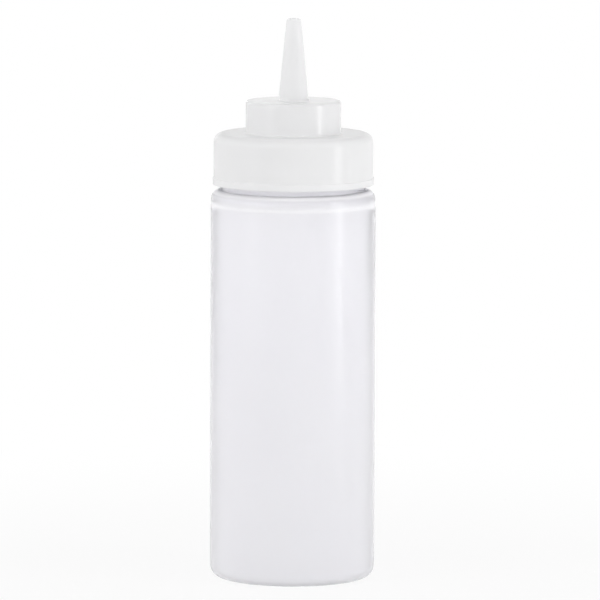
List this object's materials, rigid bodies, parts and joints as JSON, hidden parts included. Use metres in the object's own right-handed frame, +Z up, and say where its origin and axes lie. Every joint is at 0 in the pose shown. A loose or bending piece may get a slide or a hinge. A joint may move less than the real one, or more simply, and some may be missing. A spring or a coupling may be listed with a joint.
{
  "type": "dispensing sauce bottle",
  "caption": "Squeeze bottle for sauce with a wide neck, a screw cap on a soft sealing ring, and a fixed conical pouring nozzle.",
  "frame": {"origin": "centre of the base, at the level of the table", "axes": "+Z up along the bottle's axis, towards the nozzle; the bottle is round about it, and +Y points away from the viewer"},
  "size_m": [0.072, 0.072, 0.2446],
  "materials": {
    "bottle_plastic": "satin",
    "cap_plastic": "satin",
    "seal_rubber": "matte"
  },
  "bodies": {
    "bottle_body": {"bottle": "bottle_plastic"},
    "seal": {"seal_ring": "seal_rubber"},
    "screw_cap": {"cap": "cap_plastic"}
  },
  "joints": [
    {"name": "cap_lift", "type": "slide", "parent": "bottle_body", "child": "seal", "axis": [0, 0, 1], "range_m": [0, 0.02016]},
    {"name": "cap_turn", "type": "hinge", "parent": "seal", "child": "screw_cap", "pos_m": [0, 0, 0.19], "axis": [0, 0, 1], "range_deg": [0, 1728]}
  ],
  "couplings": [
    {"joint": "cap_lift", "follows": "cap_turn", "m_per_rad": 0.00066845}
  ]
}
